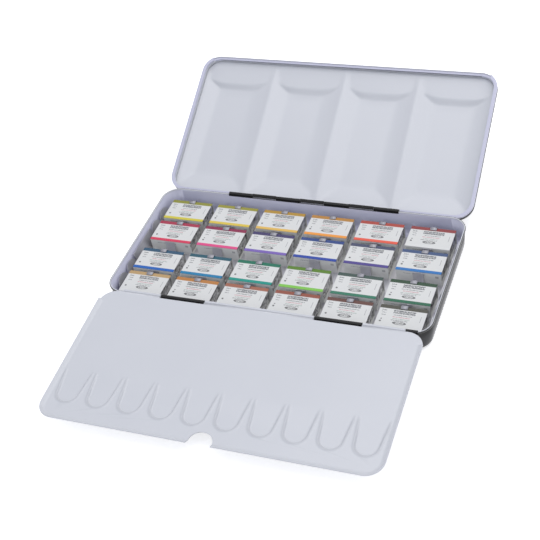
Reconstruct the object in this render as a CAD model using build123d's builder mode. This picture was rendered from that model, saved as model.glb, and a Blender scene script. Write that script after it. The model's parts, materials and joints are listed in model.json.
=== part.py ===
"""Metal watercolour box with 24 wrapped full pans, lid and palette open.

Origin: the middle of the case's flat base, on the table.
X runs along the box, Y from the palette towards the lid, Z up. Millimetres.
"""

import os
from math import atan, cos, degrees, radians, sin

from build123d import *

os.makedirs("parts", exist_ok=True)

# Tinplate and its fits
sheet = 0.6
spring_sheet = 0.4
sweep_gap = 0.25
knuckle_gap = 0.3
past = 1.0  # how far a cut runs past what it cuts

# Full pans, each in foil with a paper band round it, in two pairs of rows
rows = 4
columns = 6
band_length = 30.0
band_depth = 20.0
band_height = 11.0
band_paper = 0.2
column_gap = 5.1
row_gap = 3.5
middle_gap = 5.76
array_shift = -0.8
pan_taper = 4.16
foil = 0.15
foil_setback = 0.1
pan_wall = 0.9
pan_floor = 1.0
cake_drop = 1.2

# Case: an open tray with leaning walls and an outward hem at its rim, sized from
# the pans and the room round them
end_room = 7.05
side_room = 6.87
head_room = 5.0
case_width = columns * band_length + (columns - 1) * column_gap + 2 * end_room
case_depth = rows * band_depth + (rows - 1) * row_gap + middle_gap + 2 * side_room
case_height = sheet + spring_sheet + band_height + head_room
case_corner = 12.0
case_lean = 1.0
case_hem = 0.4
case_hem_height = 1.4
base_round = 4.0
hollow_chamfer = 2.0

# Hinge pins and the rolled knuckles round them
pin_radius = 0.5
pin_clearance = 0.05
knuckle_wall = 0.55
knuckle_radius = pin_radius + pin_clearance + knuckle_wall
bore_radius = pin_radius + pin_clearance

# Lid hinge: behind the back wall, seven knuckles in turn
lid_axis_out = 0.6
lid_axis_drop = 0.4
lid_hinge_length = 124.0
lid_knuckles = 7
lid_open = 154.7

# Palette: a thin tray with a flared lip, ten finger wells and a thumb notch,
# hinged inside the front wall
palette_axis_in = 1.5
palette_axis_drop = 0.1
palette_side_gap = 1.6
palette_back_gap = 1.7
palette_width = case_width - 2 * palette_side_gap
palette_reach = case_depth - palette_axis_in - palette_back_gap
palette_corner = 11.0
palette_rise = 0.3
palette_droop = 4.0
lip_height = 1.8
lip_flare = 2.8
lip_start = 10.0
finger_wells = 10
finger_margin = 2.8
finger_pitch = (palette_width - 2 * finger_margin) / finger_wells
finger_radius = 7.6
finger_setback = 20.8
finger_length = 20.0
finger_centre = palette_reach - finger_setback
finger_fade = finger_centre - finger_length
finger_flare = 5.7
finger_depth = 1.2
notch_radius = 7.6
notch_centre = palette_reach - 2.5

# Palette hinge: five knuckles in turn, the dark ones being the case's own
hinge_end_gap = 2.2
end_knuckle = 27.0
dark_knuckle = 31.0
palette_hinge_end = palette_width / 2 - palette_corner - hinge_end_gap
dark_knuckle_end = palette_hinge_end - end_knuckle
dark_knuckle_start = dark_knuckle_end - dark_knuckle

# Lid: a pressed tray with four mixing wells
lid_side_overhang = 0.9
lid_front_overhang = 1.3
lid_back_overhang = 0.9
lid_width = case_width + 2 * lid_side_overhang
lid_length = lid_axis_out + case_depth + lid_front_overhang + lid_back_overhang
lid_corner = case_corner + sheet
lid_seat_gap = 0.3
lid_shelf_height = 4.2
lid_hem = 1.3
lid_hem_height = 1.5
lid_relief_inset = 4.2
lid_relief_height = 1.05
lid_wells = 4
lid_well_margin = 2.3
lid_well_end_margin = 3.6
lid_ridge = 1.6
lid_well_width = (lid_width - 2 * lid_well_margin - (lid_wells - 1) * lid_ridge) / lid_wells
lid_well_length = lid_length - 2 * lid_well_end_margin
lid_well_corner = 12.0
lid_well_slope = 10.0
lid_well_depth = 3.8

# Rack: a spring-tin insert that grips the pans and lifts out with them
rack_corner = 9.0
rack_end_gap = 0.75
tongue_width = 7.0
tongue_gap = 0.15
tongue_drop = 0.6
flange_lean = 16.0
flange_inset = 6.68
flange_height = band_height + 2.0
flange_bar = 28.0
flange_lobes = 2
rack_window_width = 16.0
rack_window_depth = 8.0

# Places worked out from the sizes above
lid_axis = (0, case_depth / 2 + lid_axis_out, case_height - lid_axis_drop)
palette_axis = (0, palette_axis_in - case_depth / 2, case_height - palette_axis_drop)
pan_base_z = sheet + spring_sheet
x_places = [(i - (columns - 1) / 2) * (band_length + column_gap) for i in range(columns)]
y_places = [
    array_shift
    + ((rows - 1) / 2 - i) * (band_depth + row_gap)
    + (middle_gap / 2 if i < rows / 2 else -middle_gap / 2)
    for i in range(rows)
]
pan_centres = [(x, y) for y in y_places for x in x_places]

# The lid's own plane: its closed pose turned back about the hinge line
lid_turn = radians(-lid_open)
lid_plane = Plane(origin=lid_axis, x_dir=(1, 0, 0), z_dir=(0, -sin(lid_turn), cos(lid_turn)))
lid_rim = lid_axis_drop + lid_seat_gap
lid_middle = lid_back_overhang - lid_length / 2

# The palette's own plane: level plane turned down about the hinge line
droop = radians(palette_droop)
palette_plane = Plane(origin=palette_axis, x_dir=(1, 0, 0), z_dir=(0, -sin(droop), cos(droop)))
palette_start = knuckle_radius + sweep_gap


def along_x(plane, x):
    """A plane square to X whose origin slides along X on the given plane's hinge line."""
    return Plane(origin=plane.origin + Vector(x, 0, 0), x_dir=plane.y_dir, z_dir=(1, 0, 0))


# Knuckle stretches, as (start, end) along X
lid_step = lid_hinge_length / lid_knuckles
lid_stretches = [(-lid_hinge_length / 2 + i * lid_step, -lid_hinge_length / 2 + (i + 1) * lid_step)
                 for i in range(lid_knuckles)]
case_back_stretches = lid_stretches[0::2]
lid_own_stretches = lid_stretches[1::2]
case_front_stretches = [(-dark_knuckle_end, -dark_knuckle_start), (dark_knuckle_start, dark_knuckle_end)]
palette_stretches = [
    (-palette_hinge_end, -dark_knuckle_end),
    (-dark_knuckle_start, dark_knuckle_start),
    (dark_knuckle_end, palette_hinge_end),
]

# Case
hinge_level = Plane(origin=lid_axis)
front_level = Plane(origin=palette_axis)
case_taper = -degrees(atan(case_lean / case_height))
with BuildPart() as case_hollow:
    with BuildSketch(Plane.XY.offset(sheet)):
        hollow_inset = case_hem + case_lean + sheet - sheet * case_lean / case_height
        RectangleRounded(
            case_width - 2 * hollow_inset, case_depth - 2 * hollow_inset, case_corner - hollow_inset
        )
    extrude(amount=case_height, taper=case_taper)
    chamfer(case_hollow.faces().sort_by(Axis.Z)[0].edges(), hollow_chamfer)

with BuildPart() as case:
    with BuildSketch() as foot:
        RectangleRounded(
            case_width - 2 * (case_hem + case_lean),
            case_depth - 2 * (case_hem + case_lean),
            case_corner - case_hem - case_lean,
        )
    extrude(amount=case_height, taper=case_taper)
    fillet(case.faces().sort_by(Axis.Z)[0].edges(), base_round)
    add(case_hollow.part, mode=Mode.SUBTRACT)
    with BuildSketch(Plane.XY.offset(case_height - case_hem_height)):
        RectangleRounded(case_width, case_depth, case_corner)
        hem_inset = case_hem + sheet / 2
        RectangleRounded(
            case_width - 2 * hem_inset, case_depth - 2 * hem_inset, case_corner - hem_inset, mode=Mode.SUBTRACT
        )
    extrude(amount=case_hem_height)
    chamfer(case.faces().sort_by(Axis.Z)[-1].outer_wire().edges(), case_hem / 2)
    # Slots in the walls for the knuckles of the lid and of the palette
    for start, end in lid_own_stretches:
        with BuildSketch(along_x(hinge_level, start - knuckle_gap)):
            with Locations((0, case_height / 2 - knuckle_radius - sweep_gap)):
                Rectangle(2 * (lid_axis_out + case_hem + sheet + past), case_height)
        extrude(amount=end - start + 2 * knuckle_gap, mode=Mode.SUBTRACT)
    for start, end in palette_stretches:
        with BuildSketch(along_x(front_level, start - knuckle_gap)):
            with Locations((0, case_height / 2 - knuckle_radius - sweep_gap)):
                Rectangle(2 * (palette_axis_in + past), case_height)
        extrude(amount=end - start + 2 * knuckle_gap, mode=Mode.SUBTRACT)
    # The case's own knuckles, each rolled from a leaf of its wall
    for start, end in case_back_stretches:
        inner = start + knuckle_gap / 2
        length = end - start - knuckle_gap
        with BuildSketch(along_x(hinge_level, inner)):
            Circle(knuckle_radius)
            with Locations((-lid_axis_out - case_hem, -knuckle_radius)):
                Rectangle(lid_axis_out + case_hem, knuckle_wall, align=(Align.MIN, Align.MIN))
        extrude(amount=length)
        with BuildSketch(along_x(hinge_level, inner)):
            Circle(bore_radius)
        extrude(amount=length, mode=Mode.SUBTRACT)
    for start, end in case_front_stretches:
        inner = start + knuckle_gap / 2
        length = end - start - knuckle_gap
        with BuildSketch(along_x(front_level, inner)):
            Circle(knuckle_radius)
        extrude(amount=length)
        with BuildSketch(along_x(front_level, inner)):
            Circle(bore_radius)
        extrude(amount=length, mode=Mode.SUBTRACT)
case.part.label = "case"
export_step(case.part, "parts/case.step")

# Lid hinge pin
with BuildPart() as lid_hinge_pin:
    with BuildSketch(along_x(hinge_level, -lid_hinge_length / 2)):
        Circle(pin_radius)
    extrude(amount=lid_hinge_length)
lid_hinge_pin.part.label = "lid_hinge_pin"
export_step(lid_hinge_pin.part, "parts/lid_hinge_pin.step")

# Palette hinge pin
with BuildPart() as palette_hinge_pin:
    with BuildSketch(along_x(front_level, -palette_hinge_end)):
        Circle(pin_radius)
    extrude(amount=2 * palette_hinge_end)
palette_hinge_pin.part.label = "palette_hinge_pin"
export_step(palette_hinge_pin.part, "parts/palette_hinge_pin.step")


def lid_outline(grow):
    """The lid's plan outline, grown or shrunk by one distance all round."""
    with Locations((0, lid_middle)):
        return RectangleRounded(lid_width + 2 * grow, lid_length + 2 * grow, lid_corner + grow)


# Lid: the pressed hollow, from which the sheet's thickness is taken
shelf_z = lid_rim + lid_shelf_height
lid_well_angle = degrees(atan(lid_well_slope / lid_well_depth))
well_hollows = []
well_shells = []
for i in range(lid_wells):
    centre = ((i - (lid_wells - 1) / 2) * (lid_well_width + lid_ridge), lid_middle)
    for skin, found in ((0, well_hollows), (sheet, well_shells)):
        with BuildPart() as well:
            with BuildSketch(lid_plane.offset(shelf_z + skin)):
                with Locations(centre):
                    RectangleRounded(lid_well_width + skin, lid_well_length + skin, lid_well_corner)
            extrude(amount=lid_well_depth, taper=lid_well_angle)
        found.append(well.part)

with BuildPart() as lid:
    with BuildSketch(lid_plane.offset(lid_rim)):
        lid_outline(0)
    extrude(amount=lid_shelf_height + sheet)
    for shell in well_shells:
        add(shell)
    with BuildSketch(lid_plane.offset(lid_rim)):
        lid_outline(-lid_hem)
    extrude(amount=lid_hem_height, mode=Mode.SUBTRACT)
    with BuildSketch(lid_plane.offset(lid_rim + lid_hem_height)):
        lid_outline(-sheet)
    extrude(amount=lid_shelf_height - lid_hem_height, mode=Mode.SUBTRACT)
    for hollow in well_hollows:
        add(hollow, mode=Mode.SUBTRACT)
    # Shallow relief of the front rim, which clears the palette when it lies open
    with BuildSketch(lid_plane.offset(lid_rim)):
        with Locations((0, lid_middle - lid_length / 2)):
            Rectangle(palette_width - 2 * lid_relief_inset, 2 * (lid_hem + past))
    extrude(amount=lid_relief_height, mode=Mode.SUBTRACT)
    # Slots in the back rim for the case's knuckles, then the lid's own knuckles
    for start, end in case_back_stretches:
        with BuildSketch(along_x(lid_plane, start - knuckle_gap)):
            Rectangle(2 * (lid_back_overhang + lid_hem + past), 2 * (knuckle_radius + sweep_gap))
        extrude(amount=end - start + 2 * knuckle_gap, mode=Mode.SUBTRACT)
    for start, end in lid_own_stretches:
        inner = start + knuckle_gap / 2
        length = end - start - knuckle_gap
        with BuildSketch(along_x(lid_plane, inner)):
            Circle(knuckle_radius)
        extrude(amount=length)
        with BuildSketch(along_x(lid_plane, inner)):
            Circle(bore_radius)
        extrude(amount=length, mode=Mode.SUBTRACT)
lid.part.label = "lid"
export_step(lid.part, "parts/lid.step")

# Palette finger wells: tapering scoops that deepen towards the free edge
flare = radians(finger_flare)
tangent_x = finger_radius * cos(flare)
tangent_y = -finger_centre - finger_radius * sin(flare)
mouth_x = tangent_x + (-finger_fade - tangent_y) * sin(flare) / cos(flare)
finger_end = finger_centre + finger_radius
slope = degrees(atan(finger_depth / (finger_end - finger_fade)))
finger_places = [((i - (finger_wells - 1) / 2) * finger_pitch, 0) for i in range(finger_wells)]
sheet_top = palette_rise + sheet
scoops = []
for top, grow in ((sheet_top, 0), (palette_rise + sheet / 2, sheet / 2)):
    ramp_origin = palette_plane.from_local_coords(Vector(0, -finger_fade, top - (sheet / 2 if grow else 0)))
    ramp = Plane(origin=ramp_origin, x_dir=(1, 0, 0), z_dir=palette_plane.z_dir).rotated((-slope, 0, 0))
    with BuildPart() as scoop:
        with BuildSketch(palette_plane.offset(top)):
            with Locations(*finger_places):
                with Locations((0, -finger_centre)):
                    Circle(finger_radius + grow)
                Polygon(
                    (-mouth_x, -finger_fade),
                    (-tangent_x - grow, tangent_y),
                    (tangent_x + grow, tangent_y),
                    (mouth_x, -finger_fade),
                    align=None,
                )
        extrude(amount=-finger_depth - past)
        split(bisect_by=ramp, keep=Keep.TOP)
    scoops.append(scoop.part)

with BuildPart() as palette:
    tray_middle = -(palette_start + palette_reach) / 2
    tray_length = palette_reach - palette_start
    with BuildSketch(palette_plane.offset(palette_rise)):
        with Locations((0, tray_middle)):
            RectangleRounded(palette_width - 2 * lip_flare, tray_length - 2 * lip_flare, palette_corner - lip_flare)
    lip_angle = degrees(atan(lip_flare / (lip_height + sheet)))
    extrude(amount=lip_height + sheet, taper=-lip_angle)
    with BuildSketch(palette_plane.offset(sheet_top)):
        with Locations((0, tray_middle)):
            RectangleRounded(
                palette_width - 2 * (lip_flare + sheet / 2),
                tray_length - 2 * (lip_flare + sheet / 2),
                palette_corner - lip_flare - sheet / 2,
            )
    extrude(amount=lip_height + past, taper=-lip_angle, mode=Mode.SUBTRACT)
    # No lip beside the hinge, where the sheet runs out flat to rounded corners
    with BuildSketch(palette_plane.offset(palette_rise)):
        Rectangle(palette_width + 2 * past, 2 * lip_start)
    extrude(amount=sheet + lip_height + past, mode=Mode.SUBTRACT)
    with BuildSketch(palette_plane.offset(palette_rise)):
        with Locations((0, tray_middle)):
            RectangleRounded(palette_width, tray_length, palette_corner)
        with Locations((0, -lip_start - lip_flare)):
            Rectangle(palette_width + 2 * past, palette_reach, align=(Align.CENTER, Align.MAX), mode=Mode.SUBTRACT)
    extrude(amount=sheet)
    add(scoops[1])
    add(scoops[0], mode=Mode.SUBTRACT)
    with BuildSketch(palette_plane.offset(palette_rise - past)):
        with Locations((0, -notch_centre)):
            Circle(notch_radius)
    extrude(amount=sheet + lip_height + 2 * past, mode=Mode.SUBTRACT)
    # Knuckles, each on a leaf that runs from the sheet over the slotted wall
    for start, end in palette_stretches:
        inner = start + knuckle_gap / 2
        length = end - start - knuckle_gap
        with BuildSketch(along_x(palette_plane, inner)):
            Circle(knuckle_radius)
            with Locations((-palette_start - sheet, palette_rise)):
                Rectangle(palette_start + sheet, sheet, align=(Align.MIN, Align.MIN))
        extrude(amount=length)
        with BuildSketch(along_x(palette_plane, inner)):
            Circle(bore_radius)
        extrude(amount=length, mode=Mode.SUBTRACT)
palette.part.label = "palette"
export_step(palette.part, "parts/palette.step")

# Rack: base sheet with lightening holes, gripping tongues and scalloped end flanges
tongue_top = pan_base_z + band_height - tongue_drop
rack_width = 2 * (x_places[-1] + band_length / 2 + rack_end_gap + spring_sheet)
rack_depth = 2 * (y_places[0] - array_shift + band_depth / 2 + tongue_gap + spring_sheet)
flange_length = rack_depth - 2 * flange_inset
with BuildPart() as rack:
    with BuildSketch(Plane.XY.offset(sheet)):
        with Locations((0, array_shift)):
            RectangleRounded(rack_width, rack_depth, rack_corner)
        with Locations(*pan_centres):
            Rectangle(rack_window_width, rack_window_depth, mode=Mode.SUBTRACT)
    extrude(amount=spring_sheet)
    for x, y in pan_centres:
        for side in (-1, 1):
            grip_y = y + side * (band_depth / 2 + tongue_gap + spring_sheet / 2)
            with BuildSketch(Plane(origin=(x, grip_y, sheet), x_dir=(1, 0, 0), z_dir=(0, -1, 0))):
                with Locations((0, (tongue_top - sheet) / 2)):
                    Rectangle(tongue_width, tongue_top - sheet)
            extrude(amount=spring_sheet / 2, both=True)
    # End flanges: each leans out from the base to the end wall, with a straight
    # middle bar, a notch at each end of it and rounded lobes beyond
    lobe_width = (flange_length - flange_bar) / 2 / flange_lobes
    lobe_base = flange_height - lobe_width / 2
    for side in (-1, 1):
        lean = radians(flange_lean) * side
        flange_plane = Plane(
            origin=(side * (rack_width / 2 - spring_sheet), array_shift, sheet),
            x_dir=(0, 1, 0),
            z_dir=(cos(lean), 0, -sin(lean)),
        )
        with BuildSketch(flange_plane):
            with Locations((0, lobe_base / 2)):
                Rectangle(flange_length, lobe_base)
            with Locations((0, flange_height / 2)):
                Rectangle(flange_bar, flange_height)
            for i in range(flange_lobes):
                for way in (-1, 1):
                    with Locations((way * (flange_bar / 2 + (i + 0.5) * lobe_width), lobe_base)):
                        Circle(lobe_width / 2)
        extrude(amount=spring_sheet / 2, both=True)
    split(bisect_by=Plane.XY.offset(sheet), keep=Keep.TOP)
rack.part.label = "rack"
export_step(rack.part, "parts/rack.step")

# Pans: the taper is the same on all four sides, so every outline comes from its height
taper_rate = sin(radians(pan_taper)) / cos(radians(pan_taper))
foil_base = band_paper
foil_top = band_height - band_paper
pan_top = foil_top - foil
pan_height = pan_top - foil_base
cake_base = foil_base + pan_floor
cake_height = pan_top - cake_drop - cake_base


def half_depth(height, inset):
    """Half the depth of a pan, foil or band at a height over the pan's base."""
    return band_depth / 2 - (band_height - height) * taper_rate - inset


def half_length(height, inset):
    """Half the length of a pan or foil at a height over the pan's base."""
    return band_length / 2 - foil_setback - (band_height - height) * taper_rate - inset


def tapered_block(x, y, base, height, inset, mode=Mode.ADD):
    """A block that narrows downwards at the pan's taper, in one pan's place."""
    length = 2 * half_length(base + height, inset)
    depth = 2 * half_depth(base + height, inset)
    narrowing = height * taper_rate
    with Locations((x, y, pan_base_z + base + height / 2)):
        Wedge(
            length, height, depth, narrowing, narrowing, length - narrowing, depth - narrowing,
            rotation=(-90, 0, 0), mode=mode,
        )


for number, (x, y) in enumerate(pan_centres):
    place = f"{number // columns + 1}_{number % columns + 1}"
    with BuildPart() as pan:
        tapered_block(x, y, foil_base, pan_height, band_paper + foil)
        tapered_block(x, y, cake_base, pan_top - cake_base, band_paper + foil + pan_wall, Mode.SUBTRACT)
    pan.part.label = f"pan_{place}"
    export_step(pan.part, f"parts/pan_{place}.step")

    with BuildPart() as band:
        with BuildSketch(Plane(origin=(x, y, pan_base_z), x_dir=(0, 1, 0), z_dir=(1, 0, 0))):
            for low, inset, mode in ((0, 0, Mode.ADD), (band_paper, band_paper, Mode.SUBTRACT)):
                high = band_height - low
                Polygon(
                    (-half_depth(low, inset), low),
                    (half_depth(low, inset), low),
                    (half_depth(high, inset), high),
                    (-half_depth(high, inset), high),
                    align=None,
                    mode=mode,
                )
        extrude(amount=band_length / 2, both=True)
    band.part.label = f"wrapper_{place}"
    export_step(band.part, f"parts/wrapper_{place}.step")

# Foil round the sides and top of each pan, one solid a pan
with BuildPart() as foil_wraps:
    for x, y in pan_centres:
        tapered_block(x, y, foil_base, foil_top - foil_base, band_paper)
        tapered_block(x, y, foil_base, pan_height, band_paper + foil, Mode.SUBTRACT)
foil_wraps.part.label = "foil_wraps"
export_step(foil_wraps.part, "parts/foil_wraps.step")

# Paint cakes, one solid a pan
with BuildPart() as paint_cakes:
    for x, y in pan_centres:
        tapered_block(x, y, cake_base, cake_height, band_paper + foil + pan_wall)
paint_cakes.part.label = "paint_cakes"
export_step(paint_cakes.part, "parts/paint_cakes.step")
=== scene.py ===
"""The metal watercolour box in Blender: lid and palette open, 24 wrapped full pans."""

import json
from math import cos, floor, hypot, pi, radians, sin

import bmesh
import bpy
from mathutils import Matrix, Quaternion, Vector, noise


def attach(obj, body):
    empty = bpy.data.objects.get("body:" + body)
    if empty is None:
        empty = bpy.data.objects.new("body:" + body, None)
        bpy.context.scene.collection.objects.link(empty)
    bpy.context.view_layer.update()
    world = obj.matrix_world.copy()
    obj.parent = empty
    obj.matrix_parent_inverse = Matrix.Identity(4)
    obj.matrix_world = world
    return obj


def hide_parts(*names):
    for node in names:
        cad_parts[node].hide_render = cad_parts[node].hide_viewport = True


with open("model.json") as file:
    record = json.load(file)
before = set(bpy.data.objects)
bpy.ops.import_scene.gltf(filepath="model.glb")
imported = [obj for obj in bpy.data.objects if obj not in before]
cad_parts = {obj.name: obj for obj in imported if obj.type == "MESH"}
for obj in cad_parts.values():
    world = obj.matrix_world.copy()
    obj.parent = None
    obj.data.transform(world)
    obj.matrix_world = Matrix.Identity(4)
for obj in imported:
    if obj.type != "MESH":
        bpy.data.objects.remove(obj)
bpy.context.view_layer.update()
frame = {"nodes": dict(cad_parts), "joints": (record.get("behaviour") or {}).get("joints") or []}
mm = 0.001

# Camera
# The box is seen from its front right corner, from well above, with the
# camera rolled a little so that the box runs downhill to the right.
view_azimuth = radians(26.94)
view_elevation = radians(41.18)
view_roll = radians(-11.17)
view_distance = 769.1 * mm
view_target = Vector((-8.06, -11.76, 12.0)) * mm
back = Vector((
    sin(view_azimuth) * cos(view_elevation),
    -cos(view_azimuth) * cos(view_elevation),
    sin(view_elevation),
))
camera = bpy.data.objects.new("camera", bpy.data.cameras.new("camera"))
camera.data.lens = 78.0
camera.data.sensor_width = 36.0
camera.rotation_mode = "QUATERNION"
camera.location = view_target + back * view_distance
camera.rotation_quaternion = back.to_track_quat("Z", "Y") @ Quaternion((0, 0, 1), view_roll)
bpy.context.scene.collection.objects.link(camera)
bpy.context.scene.camera = camera
bpy.context.scene.view_settings.view_transform = "Standard"


# Floor, sky and lamps
# A pale table that runs out to white, a pale even sky, one broad lamp high on the
# right and a weaker one in front, as in a small product studio.
class Value:
    """A socket of one finish; sums on it add Math nodes."""

    def __init__(self, finish, socket):
        self.finish = finish
        self.socket = socket

    def math(self, operation, first, second=None):
        sockets = {0: first} if second is None else {0: first, 1: second}
        return self.finish.node("ShaderNodeMath", sockets, operation=operation)

    def __add__(self, other):
        return self.math("ADD", self, other)

    def __radd__(self, other):
        return self.math("ADD", other, self)

    def __sub__(self, other):
        return self.math("SUBTRACT", self, other)

    def __rsub__(self, other):
        return self.math("SUBTRACT", other, self)

    def __mul__(self, other):
        return self.math("MULTIPLY", self, other)

    def __truediv__(self, other):
        return self.math("DIVIDE", self, other)

    def __lt__(self, other):
        return self.math("LESS_THAN", self, other)

    def __gt__(self, other):
        return self.math("GREATER_THAN", self, other)

    def __abs__(self):
        return self.math("ABSOLUTE", self)


class Finish:
    """A material, or the sky, and the nodes that it is made of."""

    def __init__(self, name, world=False):
        self.data = bpy.data.worlds.new(name) if world else bpy.data.materials.new(name)
        self.data.use_nodes = True
        self.tree = self.data.node_tree
        self.tree.nodes.clear()
        output = "ShaderNodeOutputWorld" if world else "ShaderNodeOutputMaterial"
        self.output = self.tree.nodes.new(output)

    def node(self, kind, sockets=None, out=0, stops=None, **settings):
        """A new node: its settings, a ramp's stops, its sockets' values or links, its output."""
        made = self.tree.nodes.new(kind)
        for setting, value in settings.items():
            setattr(made, setting, value)
        if stops:
            while len(made.color_ramp.elements) < len(stops):
                made.color_ramp.elements.new(0.5)
            for element, (place, colour) in zip(made.color_ramp.elements, stops):
                element.position = place
                element.color = colour
        for name, value in (sockets or {}).items():
            if isinstance(value, Value):
                self.tree.links.new(value.socket, made.inputs[name])
            else:
                made.inputs[name].default_value = value
        return Value(self, made.outputs[out])

    def place(self):
        """The X, Y and Z of a point on the piece, in metres."""
        point = self.node("ShaderNodeTexCoord", out="Object")
        split = self.node("ShaderNodeSeparateXYZ", {0: point})
        return [Value(self, split.socket.node.outputs[i]) for i in range(3)]

    def blend(self, mask, low, high):
        """Colour low where the mask is 0, colour high where it is 1."""
        return self.node("ShaderNodeMix", {0: mask, 6: low, 7: high}, out=2, data_type="RGBA")

    def end(self, shader):
        """Joins the last node to the output."""
        self.tree.links.new(shader.socket, self.output.inputs[0])
        return self.data

    def surface(self, sockets):
        """Ends the material in one shader."""
        return self.end(self.node("ShaderNodeBsdfPrincipled", sockets))


def seen_rays(finish):
    """1 for what the camera sees straight, in a reflection or through glass."""
    path = finish.node("ShaderNodeLightPath", out="Is Camera Ray")
    glossy = Value(finish, path.socket.node.outputs["Is Glossy Ray"])
    through = Value(finish, path.socket.node.outputs["Is Transmission Ray"])
    return finish.node("ShaderNodeMath", {0: path + glossy + through, 1: 1.0}, operation="MINIMUM")


floor_size = 3.0
floor_drop = 0.1 * mm
floor_glow = 0.62
sky_light = (0.86, 0.89, 1.0, 1)
sky_strength = 0.62
white = (1, 1, 1, 1)

bm = bmesh.new()
bmesh.ops.create_grid(bm, x_segments=1, y_segments=1, size=floor_size)
bmesh.ops.translate(bm, vec=(0, 0, -floor_drop), verts=bm.verts)
ground = bpy.data.objects.new("floor", bpy.data.meshes.new("floor"))
bm.to_mesh(ground.data)
bm.free()
bpy.context.scene.collection.objects.link(ground)
table = Finish("pale_table")
matt = table.node("ShaderNodeBsdfDiffuse", {"Color": (0.86, 0.86, 0.87, 1)})
glow = table.node("ShaderNodeEmission", {"Color": white, "Strength": floor_glow})
lit = table.node("ShaderNodeAddShader", {0: matt, 1: glow})
ground.data.materials.append(
    table.end(table.node("ShaderNodeMixShader", {0: seen_rays(table), 1: matt, 2: lit}))
)

sky = Finish("sky", world=True)
soft = sky.node("ShaderNodeBackground", {"Color": sky_light, "Strength": sky_strength})
plain = sky.node("ShaderNodeBackground", {"Color": white, "Strength": 1.0})
bpy.context.scene.world = sky.end(
    sky.node("ShaderNodeMixShader", {0: seen_rays(sky), 1: soft, 2: plain})
)


def lamp(name, place, aim, size, power, colour):
    """A square soft lamp at a place, facing a point."""
    light = bpy.data.lights.new(name, "AREA")
    light.size = size
    light.energy = power
    light.color = colour
    made = bpy.data.objects.new(name, light)
    made.location = place
    made.rotation_mode = "QUATERNION"
    made.rotation_quaternion = (Vector(place) - Vector(aim)).to_track_quat("Z", "Y")
    bpy.context.scene.collection.objects.link(made)


lamp("lamp_top", (0.35, 0.4, 1.4), (0, 0, 0), 1.7, 12.2, (1.0, 0.985, 0.965))
lamp("lamp_front", (-0.3, -1.3, 0.8), (0, 0, 0), 0.8, 2.2, (0.98, 0.985, 1.0))


# Case
# A shallow tray pressed from tinplate, stoved white inside and black outside, with
# leaning walls, a rounded foot and the rim's edge folded out into a narrow hem.
white_tones = ((0.645, 0.66, 0.69, 1), (0.62, 0.635, 0.67, 1))
# These tones are the white enamel painted darker and bluer: painted shade inside the case and on
# the lid's hem.
shaded_white_tones = ((0.59, 0.595, 0.71, 1), (0.56, 0.565, 0.695, 1))
black_tones = ((0.014, 0.014, 0.016, 1), (0.010, 0.010, 0.012, 1))
hinge_tones = ((0.012, 0.012, 0.013, 1), (0.008, 0.008, 0.009, 1))
white_gloss = (0.26, 0.36)
white_shine = 0.5
mottle_scale = 35.0
ripple_scale = 900.0
speck_scale = 2600.0


def enamel(name, tones, gloss, shine, bead_shade_tone=None):
    """A stoved coat, a little uneven in tone and gloss, with painted shade along a bead where a
    shade tone is given.
    """
    finish = Finish(name)
    point = finish.node("ShaderNodeTexCoord", out="Object")
    cloud, ripple, speck = [
        finish.node("ShaderNodeTexNoise", {"Vector": point, "Scale": scale, "Detail": detail})
        for scale, detail in ((mottle_scale, 3.0), (ripple_scale, 2.0), (speck_scale, 1.0))
    ]
    pale, deep = tones
    smoothest, dullest = gloss
    tone = finish.blend(cloud, deep, pale)
    if bead_shade_tone:
        # Painted shade: greyer along the beads round the palette's wells.
        painted_bead_shade = finish.node("ShaderNodeAttribute", out="Fac", attribute_name="painted_bead_shade")
        tone = finish.blend(painted_bead_shade * 0.7, tone, bead_shade_tone)
    return finish.surface({
        "Base Color": tone,
        "Roughness": smoothest + cloud * (dullest - smoothest) + speck * 0.03,
        "Specular IOR Level": shine,
        "Coat Weight": shine / 2,
        "Coat Roughness": 0.12,
        "Normal": finish.node(
            "ShaderNodeBump", {"Height": ripple, "Strength": 0.05, "Distance": 0.05 * mm}
        ),
    })


white_enamel = enamel("white_enamel", white_tones, white_gloss, white_shine)
# A shaded copy of the white enamel, for the case's inside and the lid's hem: painted shade.
shaded_white_enamel = enamel("shaded_white_enamel", shaded_white_tones, (0.3, 0.4), 0.4)
black_lacquer = enamel("black_lacquer", black_tones, (0.22, 0.32), 0.45)
hinge_lacquer = enamel("hinge_lacquer", hinge_tones, (0.30, 0.42), 0.25)

sheet = 0.6 * mm
skin = 0.25 * mm
case_height = 17.0 * mm
case_width = 219.6 * mm
case_depth = 110.0 * mm
case_corner = 12.0 * mm
case_lean = 1.0 * mm
case_hem = 0.4 * mm
case_hem_height = 1.4 * mm
base_round = 4.0 * mm
rim_line_in = 0.45 * mm
rim_line_rise = 0.05 * mm
arc_steps = 6
corner_steps = 12


def plate(width, length, corner, level, middle=0.0):
    """A bmesh that holds one rounded rectangle, and that face."""
    bm = bmesh.new()
    bmesh.ops.create_grid(bm, x_segments=1, y_segments=1, size=0.5)
    bmesh.ops.scale(bm, vec=(width, length, 1), verts=bm.verts)
    bmesh.ops.translate(bm, vec=(0, middle, level), verts=bm.verts)
    bmesh.ops.bevel(
        bm, geom=bm.verts[:], offset=corner, segments=corner_steps, profile=0.5, affect="VERTICES",
        material=-1,
    )
    bm.normal_update()
    return bm, bm.faces[:][0]


def press(bm, face, inward, along):
    """Presses the face in by one step: a ring that runs inward, and along the face's normal."""
    bmesh.ops.inset_region(
        bm, faces=[face], thickness=inward, depth=along, use_even_offset=True, use_boundary=True
    )


def press_round(bm, face, radius, way, steps=arc_steps):
    """Presses a quarter round that turns the wall into the floor."""
    for i in range(steps):
        turn, on = pi / 2 * i / steps, pi / 2 * (i + 1) / steps
        press(bm, face, radius * (cos(turn) - cos(on)), way * radius * (sin(on) - sin(turn)))


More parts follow.
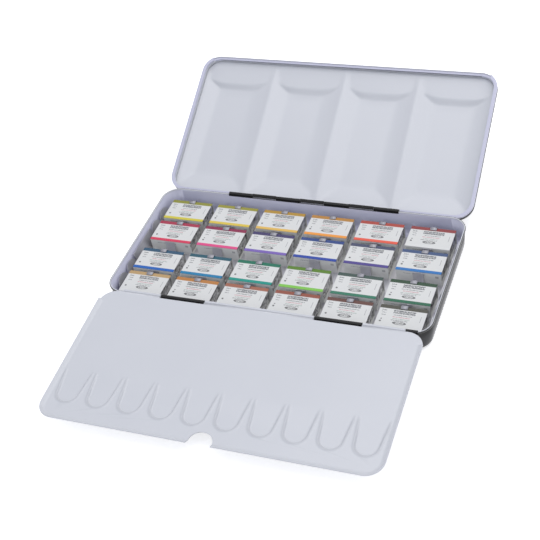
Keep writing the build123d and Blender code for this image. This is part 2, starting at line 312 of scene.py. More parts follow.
def bisect(bm, faces, point, normal):
    """Cuts the faces along a plane and gives back all their parts."""
    edges = {e for f in faces for e in f.edges}
    verts = {v for f in faces for v in f.verts}
    made = bmesh.ops.bisect_plane(
        bm, geom=[*verts, *edges, *faces], plane_co=point, plane_no=normal, dist=1e-7
    )
    return [g for g in made["geom"] if isinstance(g, bmesh.types.BMFace)]


def cut_out(bm, low, high):
    """Removes the sheet inside a box."""
    near = [
        f for f in bm.faces
        if all(
            max(v.co[i] for v in f.verts) > low[i] and min(v.co[i] for v in f.verts) < high[i]
            for i in range(3)
        )
    ]
    for i in range(3):
        for corner in (low, high):
            near = bisect(bm, near, corner, Matrix.Identity(3)[i])
    inside = [
        f for f in near
        if all(low[i] < f.calc_center_median()[i] < high[i] for i in range(3))
    ]
    bmesh.ops.delete(bm, geom=inside, context="FACES")


def piece(name, bm, material, body, thickness=0.0, place=None, smooth_to=35.0):
    """A finished object: its mesh put in place and smoothed and its body named."""
    if place is not None:
        bmesh.ops.transform(bm, matrix=place, verts=bm.verts)
    made = bpy.data.objects.new(name, bpy.data.meshes.new(name))
    bm.to_mesh(made.data)
    bm.free()
    made.data.materials.append(material)
    made.data.shade_smooth()
    made.data.set_sharp_from_angle(angle=radians(smooth_to))
    bpy.context.scene.collection.objects.link(made)
    if thickness:
        wall = made.modifiers.new("thickness", "SOLIDIFY")
        wall.thickness = thickness
        wall.offset = -1
    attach(made, body)
    return made


def soften(made, width, segments=3):
    """Rounds a piece's edges."""
    bevel = made.modifiers.new("soft_edges", "BEVEL")
    bevel.width = width
    bevel.segments = segments
    bevel.limit_method = "ANGLE"
    bevel.angle_limit = radians(40)
    return made


lid_joint = next(j for j in frame["joints"] if j["name"] == "lid_hinge")
palette_joint = next(j for j in frame["joints"] if j["name"] == "palette_hinge")
lid_axis = Vector(lid_joint["pos_m"])
palette_axis = Vector(palette_joint["pos_m"])
knuckle_radius = 1.1 * mm
sweep_gap = 0.25 * mm
lid_hinge_end = 62.0 * mm
palette_hinge_end = 95.0 * mm
# The right end of the black stub that paints the shade behind the front rim.
shade_stub_end = 102.5 * mm
slot_half = 4.0 * mm
slot_top = case_height + sheet
back_foot = lid_axis.z - knuckle_radius - sweep_gap
front_foot = palette_axis.z - knuckle_radius - sweep_gap
back_slot = (
    Vector((-lid_hinge_end, case_depth / 2 - slot_half, back_foot)),
    Vector((lid_hinge_end, case_depth / 2 + slot_half, slot_top)),
)
front_slot = (
    Vector((-palette_hinge_end, -case_depth / 2 - slot_half, front_foot)),
    Vector((palette_hinge_end, -case_depth / 2 + slot_half, slot_top)),
)
# The rim is cut away over the black stub of painted shade.
shade_stub_slot = (
    Vector((0, -case_depth / 2 - slot_half, front_foot)),
    Vector((shade_stub_end, -case_depth / 2 + slot_half, slot_top)),
)


def case_skin(inset, top, foot_round, base):
    """One side of the case's sheet, from a level on the wall down to the base."""
    lean_at_top = case_lean * (1 - top / case_height)
    start = case_hem + inset + lean_at_top
    bm, face = plate(case_width - 2 * start, case_depth - 2 * start, case_corner - start, top)
    drop = top - base - foot_round
    press(bm, face, case_lean * drop / case_height, -drop)
    press_round(bm, face, foot_round, -1)
    return bm


bm = case_skin(sheet, case_height - 0.2 * mm, base_round - sheet, sheet)
cut_out(bm, *back_slot)
cut_out(bm, *front_slot)
# The white lining is drawn in the shaded copy of the white enamel, as painted shade.
case_lining = piece("case_lining", bm, shaded_white_enamel, "case_body", skin)
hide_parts("case")

bm = case_skin(0.0, case_height - case_hem_height + 0.1 * mm, base_round, 0.0)
bmesh.ops.reverse_faces(bm, faces=bm.faces)
cut_out(bm, *back_slot)
cut_out(bm, *front_slot)
piece("case_shell", bm, black_lacquer, "case_body", skin)

bm, face = plate(case_width, case_depth, case_corner, case_height)
press(bm, face, case_hem + sheet, 0)
bmesh.ops.delete(bm, geom=[face], context="FACES")
cut_out(bm, *back_slot)
cut_out(bm, *front_slot)
cut_out(bm, *shade_stub_slot)
case_rim = piece("case_rim", bm, black_lacquer, "case_body", case_hem_height)
soften(case_rim, 0.3 * mm)

bm, face = plate(
    case_width - 2 * rim_line_in, case_depth - 2 * rim_line_in, case_corner - rim_line_in,
    case_height + rim_line_rise,
)
press(bm, face, case_hem + sheet - rim_line_in + 0.1 * mm, 0)
bmesh.ops.delete(bm, geom=[face], context="FACES")
cut_out(bm, *back_slot)
cut_out(bm, *front_slot)
cut_out(bm, *shade_stub_slot)
rim_line = piece("rim_line", bm, white_enamel, "case_body", 0.6 * mm)
soften(rim_line, 0.1 * mm, 2)

# Case knuckles
# Tongues of the case's own wall, black side out, rolled round the two hinge wires:
# four behind for the lid, two in front for the palette and, at its right end, a black
# stub put in as painted shade for the shaded gap behind the front rim.
knuckle_gap = 0.3 * mm
bore_radius = 0.55 * mm
lid_knuckles = 7
lid_step = 2 * lid_hinge_end / lid_knuckles
dark_knuckle = (37.0 * mm, 68.0 * mm)
dark_leaf = 2.7 * mm
roll_turn = radians(350)
roll_steps = 24


def knuckles(stretches, axis, side, leaf):
    """Sheet tongues rolled round a wire, each with its leaf left flat on one side."""
    bm = bmesh.new()
    for start, end in stretches:
        inner = bm.verts.new((start + knuckle_gap / 2, 0, -bore_radius))
        outer = bm.verts.new((start + knuckle_gap / 2, 0, -knuckle_radius))
        wall = bm.edges.new((inner, outer))
        made = bmesh.ops.extrude_edge_only(bm, edges=[wall])
        tongue = [g for g in made["geom"] if isinstance(g, bmesh.types.BMVert)]
        bmesh.ops.translate(bm, vec=(0, side * leaf, 0), verts=tongue)
        bmesh.ops.spin(
            bm, geom=[inner, outer, wall], cent=(0, 0, 0), axis=(1, 0, 0), angle=side * roll_turn,
            steps=roll_steps, use_merge=False,
        )
        section = [f for f in bm.faces if abs(f.verts[0].co.x - inner.co.x) < 1e-7]
        made = bmesh.ops.extrude_face_region(bm, geom=section)
        far = [g for g in made["geom"] if isinstance(g, bmesh.types.BMVert)]
        bmesh.ops.translate(bm, vec=(end - start - knuckle_gap, 0, 0), verts=far)
    bmesh.ops.recalc_face_normals(bm, faces=bm.faces)
    bmesh.ops.translate(bm, vec=axis, verts=bm.verts)
    return bm


lid_stretches = [
    (-lid_hinge_end + i * lid_step, -lid_hinge_end + (i + 1) * lid_step)
    for i in range(lid_knuckles)
]
back_leaf = lid_axis.y - case_depth / 2 + case_hem + sheet
bm = knuckles(lid_stretches[0::2], lid_axis, -1, back_leaf)
piece("back_knuckles", bm, hinge_lacquer, "case_body")
front_stretches = [(-dark_knuckle[1], -dark_knuckle[0]), dark_knuckle]
# The last stretch is the black stub of painted shade behind the front rim.
bm = knuckles([*front_stretches, (palette_hinge_end, shade_stub_end)], palette_axis, -1, dark_leaf)
piece("front_knuckles", bm, hinge_lacquer, "case_body")

# Hinge wires
# Two drawn steel wires, run through the knuckles from end to end.
wire = Finish("steel_wire")
x, y, z = wire.place()
drawn = wire.node("ShaderNodeCombineXYZ", {0: x * 0.02, 1: y, 2: z})
lines = wire.node("ShaderNodeTexNoise", {"Vector": drawn, "Scale": 4000.0, "Detail": 3.0})
steel_wire = wire.surface({
    "Base Color": wire.blend(lines, (0.34, 0.34, 0.35, 1), (0.5, 0.5, 0.51, 1)),
    "Metallic": 1.0,
    "Roughness": 0.3 + lines * 0.2,
})
for node in ("lid_hinge_pin", "palette_hinge_pin"):
    frame["nodes"][node].data.materials.clear()
    frame["nodes"][node].data.materials.append(steel_wire)

# Rack
# An insert of bright spring tinplate, cut and bent from one sheet: a base, tongues
# that grip the pans and an end flange that leans out to each end wall.
def tin_sheet(name, dull, bright, metallic, rough):
    """Rolled tinplate, with a grain along its length and a faint spangle."""
    tin = Finish(name)
    x, y, z = tin.place()
    point = tin.node("ShaderNodeTexCoord", out="Object")
    rolled = tin.node("ShaderNodeCombineXYZ", {0: x, 1: y * 0.06, 2: z})
    grain = tin.node("ShaderNodeTexNoise", {"Vector": rolled, "Scale": 900.0, "Detail": 4.0})
    spangle = tin.node("ShaderNodeTexVoronoi", {"Vector": point, "Scale": 160.0})
    return tin.surface({
        "Base Color": tin.blend(spangle * 0.5 + grain * 0.5, dull, bright),
        "Metallic": metallic,
        "Roughness": rough + grain * 0.2,
        "Normal": tin.node(
            "ShaderNodeBump", {"Height": grain, "Strength": 0.08, "Distance": 0.05 * mm}
        ),
    })


tinplate = tin_sheet("tinplate", (0.48, 0.48, 0.52, 1), (0.70, 0.70, 0.74, 1), 0.6, 0.28)
# A darker copy of the tinplate, for the tongue tips: painted shade.
shaded_tip_tin = tin_sheet("shaded_tip_tin", (0.27, 0.27, 0.31, 1), (0.42, 0.42, 0.46, 1), 0.5, 0.4)
frame["nodes"]["rack"].data.materials.clear()
frame["nodes"]["rack"].data.materials.append(tinplate)

# Lid
# A pressed tray, white inside and black outside, that opens back until it nearly lies
# flat. Its edge is folded in to a round white hem, and its floor is four mixing wells
# with soft walls, a long ramp at the hinge and a stepped bowl at the far end.
lid_open = -radians(lid_joint["range_deg"][0])
lid_place = Matrix.Translation(lid_axis) @ Matrix.Rotation(-lid_open, 4, "X")
lid_width = 221.4 * mm
lid_length = 112.6 * mm
lid_corner = 12.6 * mm
lid_middle = 0.9 * mm - lid_length / 2
lid_front = lid_middle - lid_length / 2
lid_rim = 0.7 * mm
lid_shelf = 4.9 * mm
lid_hem = 2.4 * mm
lid_hem_height = 1.5 * mm
lid_relief = 1.1 * mm
lid_relief_half = 104.0 * mm
lid_relief_slope = 0.6 * mm
lid_fillet = 0.8 * mm
well_pitch = 54.6 * mm
well_width = 53.0 * mm
well_length = 105.6 * mm
well_depth = 3.8 * mm
well_left, well_right = 12.0 * mm, 15.0 * mm
left_hollow, right_hollow = 1.15, 1.7
wall_blend = 9
ramp_length = 14.0 * mm
bowl_length = 20.5 * mm
bowl_curve = 3.4
bowl_sill = 0.78
bowl_sill_drop = 0.34
lid_columns = 42
bowl_row, bowl_rows = 0.75 * mm, 31
field_start, field_row, field_rows = 24.5 * mm, 6.0 * mm, 12
ramp_row, ramp_rows = 1.3 * mm, 14
lid_slots = [
    (Vector((start, -1.6 * mm, -1 * mm)), Vector((end, 2 * mm, knuckle_radius + sweep_gap)))
    for start, end in lid_stretches[0::2]
]


def eased(t):
    t = min(max(t, 0.0), 1.0)
    return t * t * (3 - 2 * t)


def bowl(along, far):
    """Height left, of 1, at the far end: a sill, then a step round the bowl's curved edge."""
    inner = max(1 - abs(2 * along / well_width) ** bowl_curve, 1e-6)
    share = max(far, 0.0) / (bowl_length * inner ** (1 / bowl_curve))
    if share < bowl_sill:
        return 1 - bowl_sill_drop * share / bowl_sill
    return (1 - bowl_sill_drop) * (1 - eased((share - bowl_sill) / (1 - bowl_sill)))


def well_height(x, y):
    """How high the lid's floor stands over a well's bottom, as a share of the well's depth."""
    along = (x + 2 * well_pitch) % well_pitch - well_pitch / 2
    left = well_width / 2 + along
    right = well_width / 2 - along
    near = lid_middle - y + well_length / 2
    far = y - lid_middle + well_length / 2
    walls = [
        max(1 - max(left, 0) / well_left, 0) ** left_hollow,
        max(1 - max(right, 0) / well_right, 0) ** right_hollow,
        max(1 - max(near, 0) / ramp_length, 0),
        bowl(along, far),
    ]
    return min(sum(w ** wall_blend for w in walls) ** (1 / wall_blend), 1.0)


def lid_skin(inset, low, lift):
    """One side of the lid's sheet: its wall, its shelf and the pressed wells."""
    bm, face = plate(
        lid_width - 2 * inset, lid_length - 2 * inset, lid_corner - inset, low, lid_middle
    )
    wall = bmesh.ops.extrude_face_region(bm, geom=[face])
    face = next(g for g in wall["geom"] if isinstance(g, bmesh.types.BMFace))
    bmesh.ops.translate(bm, vec=(0, 0, lid_shelf + lift - lid_fillet - low), verts=face.verts)
    mouth = [f for f in bm.faces if len(f.verts) > 4 and f is not face]
    bmesh.ops.delete(bm, geom=mouth, context="FACES_ONLY")
    press_round(bm, face, lid_fillet, 1, 4)
    cuts = [bowl_row * i for i in range(1, bowl_rows + 1)]
    cuts += [field_start + field_row * i for i in range(field_rows)]
    cuts += [lid_length - ramp_row * i for i in range(1, ramp_rows + 1)]
    floor_faces = [face]
    for cut in cuts:
        floor_faces = bisect(bm, floor_faces, (0, lid_front + cut, 0), (0, 1, 0))
    column_step = well_pitch / lid_columns
    half_columns = round(lid_width / 2 / column_step)
    for i in range(-half_columns, half_columns + 1):
        floor_faces = bisect(bm, floor_faces, (i * column_step, 0, 0), (1, 0, 0))
    for vert in {v for f in floor_faces for v in f.verts}:
        vert.co.z += well_depth * (1 - well_height(vert.co.x, vert.co.y))
    return bm


bm = lid_skin(sheet, lid_rim + 0.4 * mm, 0.0)
bmesh.ops.recalc_face_normals(bm, faces=bm.faces)
bmesh.ops.reverse_faces(bm, faces=bm.faces)
lid_lining = piece("lid_lining", bm, white_enamel, "lid_body", skin, lid_place, 60)
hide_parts("lid")

bm = lid_skin(0.0, lid_rim + lid_hem_height, sheet)
bmesh.ops.recalc_face_normals(bm, faces=bm.faces)
piece("lid_cover", bm, black_lacquer, "lid_body", skin, lid_place, 60)

bm, face = plate(lid_width, lid_length, lid_corner, lid_rim, lid_middle)
bmesh.ops.reverse_faces(bm, faces=bm.faces)
press(bm, face, lid_hem, 0)
bmesh.ops.delete(bm, geom=[face], context="FACES")
for low, high in lid_slots:
    cut_out(bm, low, high)
front_end = lid_front + 2 * lid_hem
front_faces = [f for f in bm.faces if min(v.co.y for v in f.verts) < front_end]
for way in (-1, 1):
    for at in (lid_relief_half, lid_relief_half + lid_relief_slope):
        front_faces = bisect(bm, front_faces, (way * at, 0, 0), (1, 0, 0))
for vert in {v for f in front_faces for v in f.verts}:
    if abs(vert.co.x) < lid_relief_half + 0.01 * mm and vert.co.y < front_end:
        vert.co.z += lid_relief
# The white hem is drawn in the shaded copy of the white enamel, as painted shade.
lid_edge = piece(
    "lid_edge", bm, shaded_white_enamel, "lid_body", lid_hem_height, lid_place
)
soften(lid_edge, 0.7 * mm, 5)

wall_foot = lid_rim + lid_relief + 0.2 * mm
bm, face = plate(
    lid_width - 2 * lid_hem, lid_length - 2 * lid_hem, lid_corner - lid_hem, wall_foot, lid_middle
)
raised = bmesh.ops.extrude_face_region(bm, geom=[face])
cap = next(g for g in raised["geom"] if isinstance(g, bmesh.types.BMFace))
bmesh.ops.translate(bm, vec=(0, 0, lid_shelf - 0.1 * mm - wall_foot), verts=cap.verts)
bmesh.ops.delete(bm, geom=[f for f in bm.faces if len(f.verts) > 4], context="FACES")
bmesh.ops.recalc_face_normals(bm, faces=bm.faces)
bmesh.ops.reverse_faces(bm, faces=bm.faces)
piece("lid_wall", bm, white_enamel, "lid_body", skin, lid_place)

bm = knuckles(lid_stretches[1::2], (0, 0, 0), 1, 0.9 * mm)
bmesh.ops.transform(bm, matrix=Matrix.Rotation(pi, 4, "Z"), verts=bm.verts)
piece("lid_knuckles", bm, hinge_lacquer, "lid_body", 0, lid_place)

# Palette
# A thin white tray hinged inside the front wall, with a flared lip round its three
# free sides, ten thumb-wide wells pressed along the free edge, each with a low bead
# round it that is greyed with painted shade, and a lifting notch.
droop = -radians(palette_joint["range_deg"][0]) - pi
palette_place = Matrix.Translation(palette_axis) @ Matrix.Rotation(droop, 4, "X")
palette_width = 216.4 * mm
palette_start = knuckle_radius + sweep_gap
palette_reach = 106.5 * mm
palette_length = palette_reach - palette_start
palette_middle = -(palette_reach + palette_start) / 2
palette_corner = 11.0 * mm
palette_top = 0.9 * mm
lip_height = 1.8 * mm
lip_flare = 2.8 * mm
lip_start = 10.0 * mm
lip_step = 0.5 * mm
finger_wells = 10
finger_pitch = 21.08 * mm
finger_radius = 7.6 * mm
finger_centre = 86.0 * mm
finger_fade = 66.0 * mm
finger_flare = radians(5.7)
finger_depth = 0.95 * mm
finger_wall = 1.5 * mm
finger_ramp = 20.0 * mm
finger_bead = 0.35 * mm
bead_half = 1.5 * mm
bead_ramp = 7.0 * mm
finger_columns = 48
finger_rows = 66
field_margin = 0.6 * mm
field_past = 1.0 * mm
fade_past = 2.0 * mm
lip_rings = (0.4, 0.5, 0.6, 0.6, 0.7, 0.4)
# The colour of the painted shade along the wells' beads.
painted_bead_tone = (0.50, 0.515, 0.545, 1)
knuckle_notch = 1.2 * mm
notch_radius = 7.6 * mm
notch_centre = Vector((0, -104.3 * mm, 0))
notch_cuts = 16


def rounded_edge(x, y):
    """How far a point lies in from the palette's outline."""
    across = abs(x) - (palette_width / 2 - palette_corner)
    along = abs(y - palette_middle) - (palette_length / 2 - palette_corner)
    if across > 0 and along > 0:
        return palette_corner - hypot(across, along)
    return palette_corner - max(across, along)


def in_finger(x, y):
    """How far a point lies inside the nearest finger well, negative outside it."""
    side = abs(x - finger_pitch * (floor(x / finger_pitch) + 0.5))
    down = -y - finger_centre
    if down > side * sin(finger_flare) / cos(finger_flare):
        return finger_radius - hypot(side, down)
    return finger_radius - (side * cos(finger_flare) + down * sin(finger_flare))


bm, face = plate(palette_width, palette_length, palette_corner, palette_top, palette_middle)
for ring in lip_rings:
    press(bm, face, ring * mm, 0)
field_half = finger_wells / 2 * finger_pitch - field_margin
field_low = -finger_centre - finger_radius - field_past
field_high = -finger_fade + fade_past
everything = bm.faces[:]
for cut in (-lip_start, -lip_start - lip_step, field_high, field_low):
    everything = bisect(bm, everything, (0, cut, 0), (0, 1, 0))
for cut in (-field_half, field_half):
    everything = bisect(bm, everything, (cut, 0, 0), (1, 0, 0))
field = next(
    f for f in bm.faces
    if abs(f.calc_center_median().x) < 1 * mm
    and -finger_centre < f.calc_center_median().y < -finger_fade
)
across_edges = [e for e in field.edges if abs(e.verts[0].co.y - e.verts[1].co.y) < 1e-6]
bmesh.ops.subdivide_edges(
    bm, edges=across_edges, cuts=finger_wells * finger_columns, use_grid_fill=True
)
up_edges = [
    e for e in bm.edges
    if abs(e.verts[0].co.x - e.verts[1].co.x) < 1e-6
    and abs(e.verts[0].co.x) < field_half + 1e-6
    and min(v.co.y for v in e.verts) > field_low - 1e-6
    and max(v.co.y for v in e.verts) < field_high + 1e-6
]
bmesh.ops.subdivide_edges(bm, edges=up_edges, cuts=finger_rows, use_grid_fill=True)
near_notch = [
    f for f in bm.faces
    if (f.calc_center_median() - notch_centre).length < 2 * notch_radius
    or any((v.co - notch_centre).length < notch_radius for v in f.verts)
    or (abs(f.calc_center_median().x) < 5 * mm and f.calc_center_median().y < field_low)
]
for i in range(notch_cuts):
    turn = pi * (i + 0.5) / notch_cuts
    out = Vector((cos(turn), sin(turn), 0))
    near_notch = bisect(bm, near_notch, notch_centre + out * notch_radius, out)
gone = [
    f for f in bm.faces
    if (f.calc_center_median().xy - notch_centre.xy).length < notch_radius * 0.995
]
bmesh.ops.delete(bm, geom=gone, context="FACES")
# Painted shade, 0 to 1, laid along each well's bead and read by the palette's enamel.
painted_bead_shade = bm.verts.layers.float.new("painted_bead_shade")
for vert in bm.verts:
    x, y = vert.co.x, vert.co.y
    edge = rounded_edge(x, y)
    if y < -lip_start - lip_step / 2 and edge < lip_flare:
        vert.co.z += lip_height * (1 - max(edge, 0) / lip_flare) ** 1.3
    inside = in_finger(x, y)
    down = -y - finger_fade
    from_bead = min(abs(inside) / bead_half, 1.0)
    vert[painted_bead_shade] = eased(down / bead_ramp) * (0.5 + 0.5 * cos(pi * from_bead))
    vert.co.z -= finger_depth * eased(down / finger_ramp) * eased(inside / finger_wall)
    vert.co.z += finger_bead * vert[painted_bead_shade]
for start, end in front_stretches:
    cut_out(
        bm, Vector((start, -palette_start - knuckle_notch, -1 * mm)), Vector((end, 1 * mm, 3 * mm))
    )
# The palette's enamel is greyed along the beads: painted shade.
palette_enamel = enamel("palette_enamel", white_tones, white_gloss, white_shine, painted_bead_tone)
palette_sheet = piece(
    "palette_sheet", bm, palette_enamel, "palette_body", sheet, palette_place, 50
)
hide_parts("palette")

white_stretches = [
    (-palette_hinge_end, -dark_knuckle[1]),
    (-dark_knuckle[0], dark_knuckle[0]),
    (dark_knuckle[1], palette_hinge_end),
]
bm = knuckles(white_stretches, (0, 0, 0), -1, palette_start + sheet)
piece("palette_knuckles", bm, white_enamel, "palette_body", 0, palette_place)

# Pans
# Moulded plastic pans that taper downwards, a little cloudy, each under its foil.
pan_rows = 4
pan_columns = 6
pan_length = 30.0 * mm
pan_depth = 20.0 * mm
pan_height = 11.0 * mm
pan_taper = radians(4.16)
column_pitch = 35.1 * mm
pan_places = {}
for name in sorted(frame["nodes"]):
    if name.startswith("wrapper_"):
        box = frame["nodes"][name].bound_box
        low, high = Vector(box[0]), Vector(box[6])
        middle = (low + high) / 2
        pan_places[name.removeprefix("wrapper_")] = Vector((middle.x, middle.y, low.z))
plastic = Finish("pan_plastic")
point = plastic.node("ShaderNodeTexCoord", out="Object")
cloud = plastic.node("ShaderNodeTexNoise", {"Vector": point, "Scale": 300.0, "Detail": 3.0})
pan_plastic = plastic.surface({
    "Base Color": plastic.blend(cloud, (0.74, 0.74, 0.71, 1), (0.8, 0.8, 0.78, 1)),
    "Roughness": 0.35 + cloud * 0.15,
    "Normal": plastic.node(
        "ShaderNodeBump", {"Height": cloud, "Strength": 0.1, "Distance": 0.05 * mm}
    ),
})
for place in pan_places:
    frame["nodes"]["pan_" + place].data.materials.clear()
    frame["nodes"]["pan_" + place].data.materials.append(pan_plastic)

# Paint cakes
# Watercolour poured into the pans and dried hard: a dull, slightly cracked cake,
# each pan its own colour. Its label repeats that colour on the front stripe and
# shows the second, darker one of the list on the back stripe.
paints = [
    ("lemon", (0.66, 0.58, 0.06), (0.27, 0.27, 0.04)),
    ("yellow", (0.74, 0.56, 0.08), (0.31, 0.29, 0.04)),
    ("warm_yellow", (0.78, 0.50, 0.11), (0.46, 0.27, 0.04)),
    ("orange", (0.86, 0.34, 0.06), (0.48, 0.23, 0.05)),
    ("coral_red", (0.82, 0.12, 0.07), (0.42, 0.07, 0.05)),
    ("dark_red", (0.50, 0.03, 0.04), (0.27, 0.05, 0.05)),
    ("crimson", (0.68, 0.04, 0.10), (0.38, 0.03, 0.07)),
    ("magenta", (0.76, 0.08, 0.25), (0.25, 0.02, 0.07)),
    ("violet", (0.20, 0.13, 0.46), (0.05, 0.04, 0.13)),
    ("ultramarine", (0.02, 0.06, 0.36), (0.025, 0.06, 0.22)),
    ("indigo", (0.08, 0.06, 0.26), (0.06, 0.07, 0.13)),
    ("cerulean", (0.03, 0.18, 0.48), (0.05, 0.09, 0.20)),
    ("blue", (0.01, 0.12, 0.46), (0.02, 0.08, 0.15)),
    ("teal_blue", (0.01, 0.20, 0.40), (0.015, 0.09, 0.13)),
    ("turquoise", (0.005, 0.29, 0.23), (0.005, 0.15, 0.09)),
    ("light_green", (0.22, 0.56, 0.08), (0.09, 0.20, 0.015)),
    ("dark_green", (0.03, 0.18, 0.11), (0.045, 0.08, 0.07)),
    ("deep_green", (0.02, 0.13, 0.07), (0.02, 0.06, 0.03)),
    ("ochre", (0.60, 0.38, 0.16), (0.50, 0.33, 0.15)),
    ("raw_brown", (0.42, 0.22, 0.06), (0.48, 0.20, 0.05)),
    ("red_brown", (0.30, 0.10, 0.06), (0.35, 0.13, 0.08)),
    ("burnt_brown", (0.22, 0.07, 0.04), (0.28, 0.08, 0.05)),
    ("dark_brown", (0.09, 0.05, 0.04), (0.12, 0.05, 0.04)),
    ("olive_black", (0.05, 0.05, 0.04), (0.07, 0.07, 0.055)),
]
cake = Finish("paint")
x, y, z = cake.place()
row_colours = []
for row in range(pan_rows):
    own = paints[row * pan_columns:(row + 1) * pan_columns]
    stops = [(i / pan_columns, (*paint[1], 1)) for i, paint in enumerate(own)]
    ramp = cake.node("ShaderNodeValToRGB", {0: x / (pan_columns * column_pitch) + 0.5}, stops=stops)
    ramp.socket.node.color_ramp.interpolation = "CONSTANT"
    row_colours.append(ramp)
hues = row_colours[0]
for row in range(1, pan_rows):
    between = (pan_places[f"{row}_1"].y + pan_places[f"{row + 1}_1"].y) / 2
    below = cake.node("ShaderNodeMath", {0: y, 1: between}, operation="LESS_THAN")
    hues = cake.blend(below, hues, row_colours[row])
point = cake.node("ShaderNodeTexCoord", out="Object")
crust = cake.node("ShaderNodeTexNoise", {"Vector": point, "Scale": 500.0, "Detail": 5.0})
paint = cake.surface({
    "Base Color": cake.blend(crust * 0.5, hues, (0.02, 0.02, 0.02, 1)),
    "Roughness": 0.6 + crust * 0.3,
    "Normal": cake.node(
        "ShaderNodeBump", {"Height": crust, "Strength": 0.4, "Distance": 0.2 * mm}
    ),
})
frame["nodes"]["paint_cakes"].data.materials.clear()
frame["nodes"]["paint_cakes"].data.materials.append(paint)

# Foil wraps
# Thin aluminium foil pressed by hand round each pan and folded over at its two
# ends, so the ends are crumpled and show a top flap that comes to a point.
foil = Finish("foil")
point = foil.node("ShaderNodeTexCoord", out="Object")
crease = foil.node(
    "ShaderNodeTexVoronoi", {"Vector": point, "Scale": 450.0}, feature="DISTANCE_TO_EDGE"
)
soft_dent = foil.node("ShaderNodeTexNoise", {"Vector": point, "Scale": 300.0, "Detail": 3.0})
# Painted shade and painted dark reflections: the foil's colour goes dark along the creases and
# where the dent noise is low.
fold_shade = foil.node(
    "ShaderNodeMapRange", {"Value": soft_dent + crease * 0.5, "From Min": 0.38, "From Max": 0.70}
)
foil_material = foil.surface({
    "Base Color": foil.blend(fold_shade, (0.10, 0.10, 0.10, 1), (0.80, 0.80, 0.79, 1)),
    "Metallic": 1.0,
    "Roughness": 0.2 + soft_dent * 0.2,
    "Normal": foil.node(
        "ShaderNodeBump", {"Height": crease + soft_dent, "Strength": 0.8, "Distance": 0.6 * mm}
    ),
})
foil_inset = 0.3 * mm
foil_cuts = 11
flap_step = 0.22 * mm
flap_slope = 0.9
flap_point = 0.1
end_crumple = 0.5 * mm
side_crumple = 0.1 * mm
fold_scale = 420
crinkle_scale = 1100
on_face = 0.999

bm = bmesh.new()
for centre in pan_places.values():
    cube = bmesh.ops.create_cube(bm, size=1.0)
    edges = list({e for v in cube["verts"] for e in v.link_edges})
    bmesh.ops.subdivide_edges(bm, edges=edges, cuts=foil_cuts, use_grid_fill=True)
    # The new cube is 1 m wide, and the finished wraps lie within 0.2 m.
    for vert in [v for v in bm.verts if max(abs(c) for c in v.co) > 0.49]:
        u, v, w = vert.co * 2
        taper = pan_height * (1 - w) / 2 * sin(pan_taper)
        spot = centre + Vector((
            u * (pan_length / 2 - foil_inset - taper),
            v * (pan_depth / 2 - foil_inset - taper),
            pan_height / 2 + w * (pan_height / 2 - foil_inset),
        ))
        bump = noise.noise(spot * fold_scale) + 0.5 * noise.noise(spot * crinkle_scale)
        if abs(u) > on_face and abs(v) < on_face and abs(w) < on_face:
            flap = flap_step if w > abs(v) * flap_slope - flap_point else 0.0
            spot.x += (1 if u > 0 else -1) * (bump * end_crumple + flap)
        elif abs(v) > on_face:
            spot.y -= (1 if v > 0 else -1) * abs(bump) * side_crumple
        vert.co = spot
bmesh.ops.recalc_face_normals(bm, faces=bm.faces)
foil_wraps = piece("foil_wraps_skin", bm, foil_material, "case_body", 0, None, 20)
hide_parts("foil_wraps")

# Labels
# A coated paper band round each foiled pan, printed with a stripe of the paint at the
# front and fine plain marks behind it, and with a darker stripe at the back. All 24 are
# laid out alike, but seven of them have no front stripe. Marks are in mm from the pan's
# centre: each row or span is a middle and a half width.
label_white = (0.74, 0.745, 0.725, 1)
label_shade = (0.72, 0.725, 0.7, 1)
print_grey = (0.10, 0.105, 0.12, 1)
print_dark = (0.03, 0.03, 0.035, 1)
print_rose = (0.55, 0.16, 0.20, 1)
print_green = (0.20, 0.30, 0.25, 1)
bare_fronts = {
    "dark_red", "ochre", "raw_brown", "red_brown", "burnt_brown", "dark_brown", "olive_black"
}
front_stripe = -7.7
back_stripe = 7.0
label_top = 11.7
title_rows, title_span = [(5.6, 0.7), (4.0, 0.7)], (1.2, 7.0)
list_rows, list_span = [(5.3, 0.5), (3.2, 0.35), (1.2, 0.35)], (-11.4, 1.3)
grey_line, rose_line, green_line, last_line = (1.9, 0.36), (0.3, 0.36), (-1.3, 0.36), (-2.6, 0.3)
oval_middle = -4.7
oval_across, oval_down = 4.4, 1.4
oval_rim = 0.5


def within(value, middle, half):
    """1 where a value lies within a band."""
    return abs(value - middle) < half


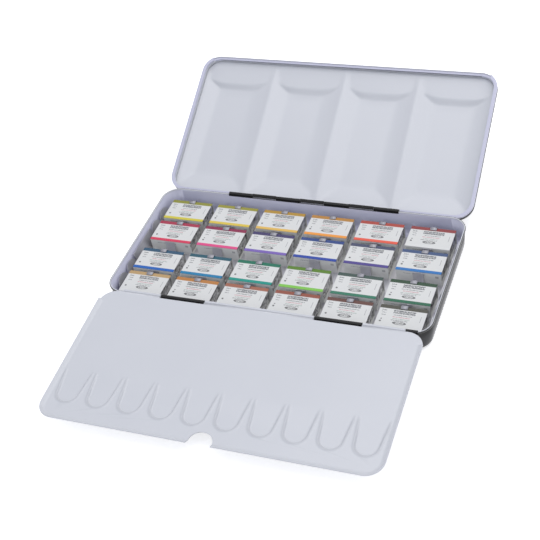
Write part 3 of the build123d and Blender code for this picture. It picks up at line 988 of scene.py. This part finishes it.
def label(name, centre, front, back, number):
    """One band's paper, with its two stripes and its marks, the lines' lengths by its number."""
    paper = Finish(name)
    x, y, z = paper.place()
    across = x * 1000 - centre.x / mm
    down = y * 1000 - centre.y / mm
    height = z * 1000
    point = paper.node("ShaderNodeTexCoord", out="Object")
    blots = paper.node("ShaderNodeTexNoise", {"Vector": point, "Scale": 1500.0, "Detail": 1.0})
    ticks = paper.node("ShaderNodeTexNoise", {"Vector": point, "Scale": 2400.0, "Detail": 1.0})
    cloud = paper.node("ShaderNodeTexNoise", {"Vector": point, "Scale": 120.0, "Detail": 3.0})
    fibre = paper.node("ShaderNodeTexNoise", {"Vector": point, "Scale": 3200.0, "Detail": 2.0})
    broken = blots > 0.43
    dashed = ticks > 0.45
    top = height > label_top
    side = 1 - top
    stretch = 1.0 + (number * 7 % 5) * 0.08

    def bars(rows, middle, half):
        """1 on the rows of a block of print, over one span of them."""
        mask = within(down, *rows[0])
        for row in rows[1:]:
            mask = mask + within(down, *row)
        return mask * within(across, middle, half)

    title = bars(title_rows, *title_span) * broken * top
    column = bars(list_rows, *list_span)
    grey = bars([grey_line], 0.8, 5.4 * stretch) * dashed * top
    rose = bars([rose_line], 0.2, 7.8 - 2 * stretch) * dashed * top
    green = bars([green_line], 0.4, 5.0 * stretch) * dashed * top
    last = bars([last_line], -0.6, 6.4 - stretch) * dashed * top
    strokes = bars([(5.2, 1.3)], -13.0, 0.2) + bars([(0.6, 2.6)], 12.2, 0.2)
    square = bars([(-4.4, 0.6)], -12.2, 0.6)
    extra = bars([(-2.4, 0.4)], -11.9, 0.4) * (number % 2)
    flat = across * (1 / oval_across)
    tall = (down - oval_middle) * (1 / oval_down)
    spread = flat * flat + tall * tall
    bare = 1 - within(down, oval_middle, 0.4) * dashed
    oval = (spread < 1.0) * (1 - (spread < oval_rim) * bare) * top
    side_line = within(height, 9.4, 0.4) * within(across, -3.0, 7.0) * dashed * side
    side_dot = within(height, 8.6, 0.9) * within(across, 12.0, 1.1) * side
    colour = paper.blend(cloud, label_white, label_shade)
    for mask, ink in (
        (title * 0.85, print_grey),
        ((grey + last + column * dashed * top) * 0.75, print_grey),
        (rose * 0.7, print_rose),
        (green * 0.65, print_green),
        (strokes * 0.45 * top, print_grey),
        ((square + extra) * 0.85 * top, print_dark),
        (oval * 0.8, print_dark),
        (side_line * 0.5 + side_dot * 0.5, print_grey),
        ((down < front_stripe) * top, front),
        ((down > back_stripe) * top, back),
    ):
        colour = paper.blend(mask, colour, ink)
    return paper.surface({
        "Base Color": colour,
        "Roughness": 0.45 + cloud * 0.15,
        "Normal": paper.node(
            "ShaderNodeBump", {"Height": fibre, "Strength": 0.12, "Distance": 0.03 * mm}
        ),
    })


for number, (place, centre) in enumerate(pan_places.items()):
    name, front, back = paints[number]
    front = label_white if name in bare_fronts else (*front, 1)
    material = label("label_" + name, centre, front, (*back, 1), number)
    frame["nodes"]["wrapper_" + place].data.materials.clear()
    frame["nodes"]["wrapper_" + place].data.materials.append(material)

# Tongue tips
# The rack's spring tongues end in a tip bent forward over the back edge of each label,
# of the same tinplate as the rack but drawn darker, as painted shade. The profile's
# points are in mm: how far behind the pan's back edge, and how high.
tip_half = 2.2 * mm
tip_sheet = 0.25 * mm
tip_profile = [(0.9, 10.6), (0.9, 11.7), (0.6, 12.2), (0.0, 12.4), (-1.0, 12.35), (-2.5, 12.2)]

bm = bmesh.new()
for centre in pan_places.values():
    pan_back = centre.y + pan_depth / 2
    strip = [
        [bm.verts.new((centre.x + side * tip_half, pan_back + y * mm, z * mm)) for side in (-1, 1)]
        for y, z in tip_profile
    ]
    for first, second in zip(strip, strip[1:]):
        bm.faces.new((first[0], first[1], second[1], second[0]))
piece("tongue_tips", bm, shaded_tip_tin, "case_body", tip_sheet, None, 60)
